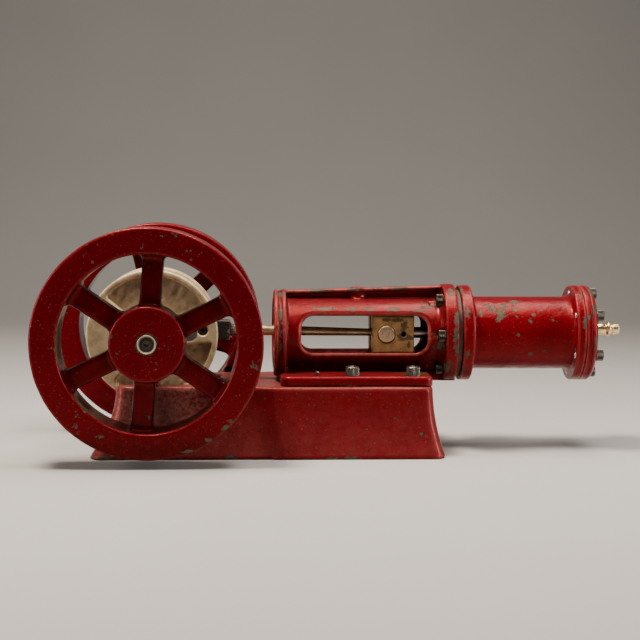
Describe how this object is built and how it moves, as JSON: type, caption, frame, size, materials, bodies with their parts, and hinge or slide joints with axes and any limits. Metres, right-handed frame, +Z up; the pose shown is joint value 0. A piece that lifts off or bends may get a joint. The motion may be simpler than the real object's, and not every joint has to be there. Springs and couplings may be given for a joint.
{
  "type": "stationary steam engine, table-top model",
  "caption": "Table-top horizontal steam engine: twin spoked flywheels, crank discs, trunk guide with windows, crosshead, cylinder and flared base.",
  "frame": {"origin": "centre of the overall box, at the height of the foot", "axes": "+X from the crank to the cylinder, along the engine; +Y to the rear wheel; +Z up"},
  "size_m": [0.6144, 0.282, 0.2373],
  "materials": {
    "red_paint": "gloss red enamel over cast iron, chipped in places",
    "bare_casting": "bare casting, turned on its lip and web and rough in its recesses",
    "dark_iron": "dark oiled iron",
    "machined_steel": "machined steel with a light oil film",
    "bronze": "machined bronze, dulled",
    "brass_fitting": "turned brass"
  },
  "bodies": {
    "engine_frame": {"base": "red_paint", "crosshead_guide": "red_paint", "front_bearing_post": "red_paint", "rear_bearing_post": "red_paint", "front_bearing_bush": "bronze", "rear_bearing_bush": "bronze", "cylinder_front_head": "dark_iron", "piston_rod_gland": "brass_fitting", "cylinder": "red_paint", "cylinder_cover": "red_paint", "inlet_fitting": "brass_fitting"},
    "crankshaft": {"front_flywheel": "red_paint", "rear_flywheel": "red_paint", "front_shaft": "machined_steel", "rear_shaft": "machined_steel", "front_crank_disc": "bare_casting", "rear_crank_disc": "bare_casting", "front_crank_pin": "machined_steel", "rear_crank_pin": "machined_steel"},
    "crosshead": {"crosshead": "bronze", "crosshead_pin": "machined_steel", "piston_rod": "machined_steel", "piston": "dark_iron"},
    "rod": {"connecting_rod": "machined_steel", "big_end_bush": "bronze", "small_end_bush": "bronze", "crank_journal": "machined_steel"}
  },
  "joints": [
    {"name": "crank_turn", "type": "hinge", "parent": "engine_frame", "child": "crankshaft", "pos_m": [-0.19285, 0, 0.123], "axis": [0, 1, 0], "continuous": true},
    {"name": "crosshead_slide", "type": "slide", "parent": "engine_frame", "child": "crosshead", "axis": [1, 0, 0], "range_m": [-0.07599, 0.00021]},
    {"name": "rod_swing", "type": "hinge", "parent": "crosshead", "child": "rod", "pos_m": [0.05304, 0, 0.123], "axis": [0, 1, 0], "range_deg": [-11.56, 9.55]}
  ]
}
